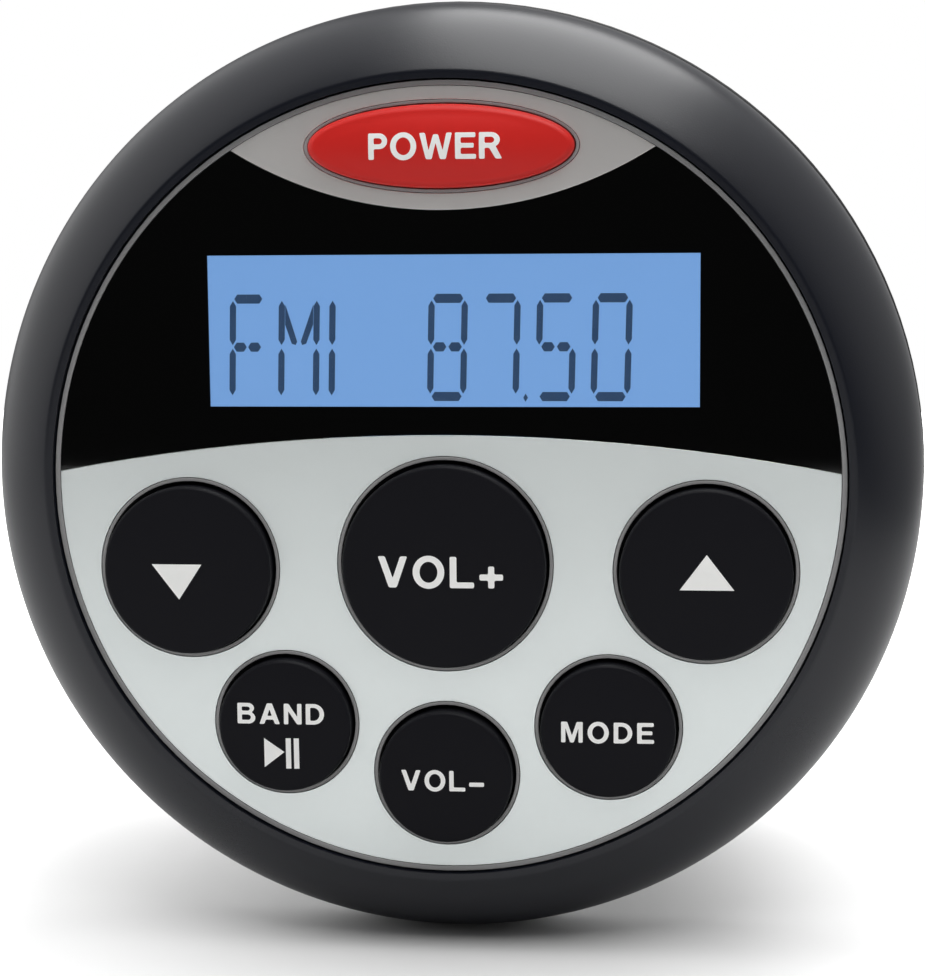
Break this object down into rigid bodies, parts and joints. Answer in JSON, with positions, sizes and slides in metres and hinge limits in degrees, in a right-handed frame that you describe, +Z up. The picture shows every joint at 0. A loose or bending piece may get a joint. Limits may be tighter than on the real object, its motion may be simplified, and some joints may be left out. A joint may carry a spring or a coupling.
{
  "type": "car stereo",
  "caption": "Round panel-mounted car stereo: backlit display window, round push keys and an oval power key in a broad trim ring, clamped by a rear strap on studs.",
  "frame": {"origin": "centre of the panel seat, in the plane of the flange gasket's back", "axes": "+Z up, the face looks along -Y, and +Y points into the panel"},
  "size_m": [0.1028, 0.0844, 0.1028],
  "materials": {
    "ring_black": "satin moulded, finely grained",
    "carrier_grey": "satin painted",
    "face_silver": "satin silver print",
    "clear_lens": "polished clear",
    "mask_black": "gloss print",
    "display_blue": "backlit",
    "tray_white": "moulded",
    "strip_rubber": "moulded",
    "light_panel": "diffusing",
    "lamp_yellow": "moulded",
    "key_black": "satin moulded",
    "key_red": "satin moulded",
    "chip_black": "moulded",
    "board_green": "lacquered",
    "bright_steel": "plated",
    "sink_aluminium": "extruded",
    "capacitor_sleeve": "sleeved",
    "socket_cream": "moulded",
    "contact_brass": "plated",
    "case_black": "moulded, spark-eroded grain",
    "seal_rubber": "moulded",
    "strap_steel": "zinc plated",
    "nut_brass": "turned"
  },
  "bodies": {
    "chassis": {"trim_ring": "ring_black", "front_case": "carrier_grey", "lower_fascia": "face_silver", "upper_fascia": "face_silver", "display_lens": "clear_lens", "lens_mask": "mask_black", "lcd_glass": "display_blue", "lcd_tray": "tray_white", "contact_strip": "strip_rubber", "backlight_panel": "light_panel", "backlight_lamps": "lamp_yellow", "key_switches": "bright_steel", "key_board": "board_green", "main_board": "board_green", "socket_board": "board_green", "riser_board": "board_green", "board_header": "chip_black", "front_spacers": "bright_steel", "rear_spacers": "bright_steel", "amplifier_chip": "chip_black", "heat_sink": "sink_aluminium", "filter_capacitors": "capacitor_sleeve", "tuner_module": "bright_steel", "control_chip": "chip_black", "harness_socket": "socket_cream", "harness_pins": "contact_brass", "aerial_socket": "bright_steel", "aerial_contact": "contact_brass", "rear_case": "case_black", "case_seal": "seal_rubber", "flange_gasket": "seal_rubber", "case_screws": "bright_steel", "mounting_studs": "bright_steel"},
    "power_key": {"power_button": "key_red", "power_plunger": "chip_black"},
    "seek_down_key": {"seek_down_button": "key_black", "seek_down_plunger": "chip_black"},
    "volume_up_key": {"volume_up_button": "key_black", "volume_up_plunger": "chip_black"},
    "seek_up_key": {"seek_up_button": "key_black", "seek_up_plunger": "chip_black"},
    "band_key": {"band_button": "key_black", "band_plunger": "chip_black"},
    "volume_down_key": {"volume_down_button": "key_black", "volume_down_plunger": "chip_black"},
    "mode_key": {"mode_button": "key_black", "mode_plunger": "chip_black"},
    "clamp": {"clamp_strap": "strap_steel", "clamp_washers": "bright_steel"},
    "left_nut": {"left_thumb_nut": "nut_brass"},
    "right_nut": {"right_thumb_nut": "nut_brass"}
  },
  "joints": [
    {"name": "power_press", "type": "slide", "parent": "chassis", "child": "power_key", "axis": [0, 1, 0], "range_m": [0, 0.0008], "stiffness_N_per_m": 1800, "springref_m": -0.0004},
    {"name": "seek_down_press", "type": "slide", "parent": "chassis", "child": "seek_down_key", "axis": [0, 1, 0], "range_m": [0, 0.0008], "stiffness_N_per_m": 1800, "springref_m": -0.0004},
    {"name": "volume_up_press", "type": "slide", "parent": "chassis", "child": "volume_up_key", "axis": [0, 1, 0], "range_m": [0, 0.0008], "stiffness_N_per_m": 1800, "springref_m": -0.0004},
    {"name": "seek_up_press", "type": "slide", "parent": "chassis", "child": "seek_up_key", "axis": [0, 1, 0], "range_m": [0, 0.0008], "stiffness_N_per_m": 1800, "springref_m": -0.0004},
    {"name": "band_press", "type": "slide", "parent": "chassis", "child": "band_key", "axis": [0, 1, 0], "range_m": [0, 0.0008], "stiffness_N_per_m": 1800, "springref_m": -0.0004},
    {"name": "volume_down_press", "type": "slide", "parent": "chassis", "child": "volume_down_key", "axis": [0, 1, 0], "range_m": [0, 0.0008], "stiffness_N_per_m": 1800, "springref_m": -0.0004},
    {"name": "mode_press", "type": "slide", "parent": "chassis", "child": "mode_key", "axis": [0, 1, 0], "range_m": [0, 0.0008], "stiffness_N_per_m": 1800, "springref_m": -0.0004},
    {"name": "clamp_slide", "type": "slide", "parent": "chassis", "child": "clamp", "axis": [0, -1, 0], "range_m": [0, 0.01]},
    {"name": "left_nut_spin", "type": "hinge", "parent": "clamp", "child": "left_nut", "pos_m": [-0.026, 0.061, 0], "axis": [0, 1, 0], "continuous": true},
    {"name": "right_nut_spin", "type": "hinge", "parent": "clamp", "child": "right_nut", "pos_m": [0.026, 0.061, 0], "axis": [0, 1, 0], "continuous": true}
  ]
}
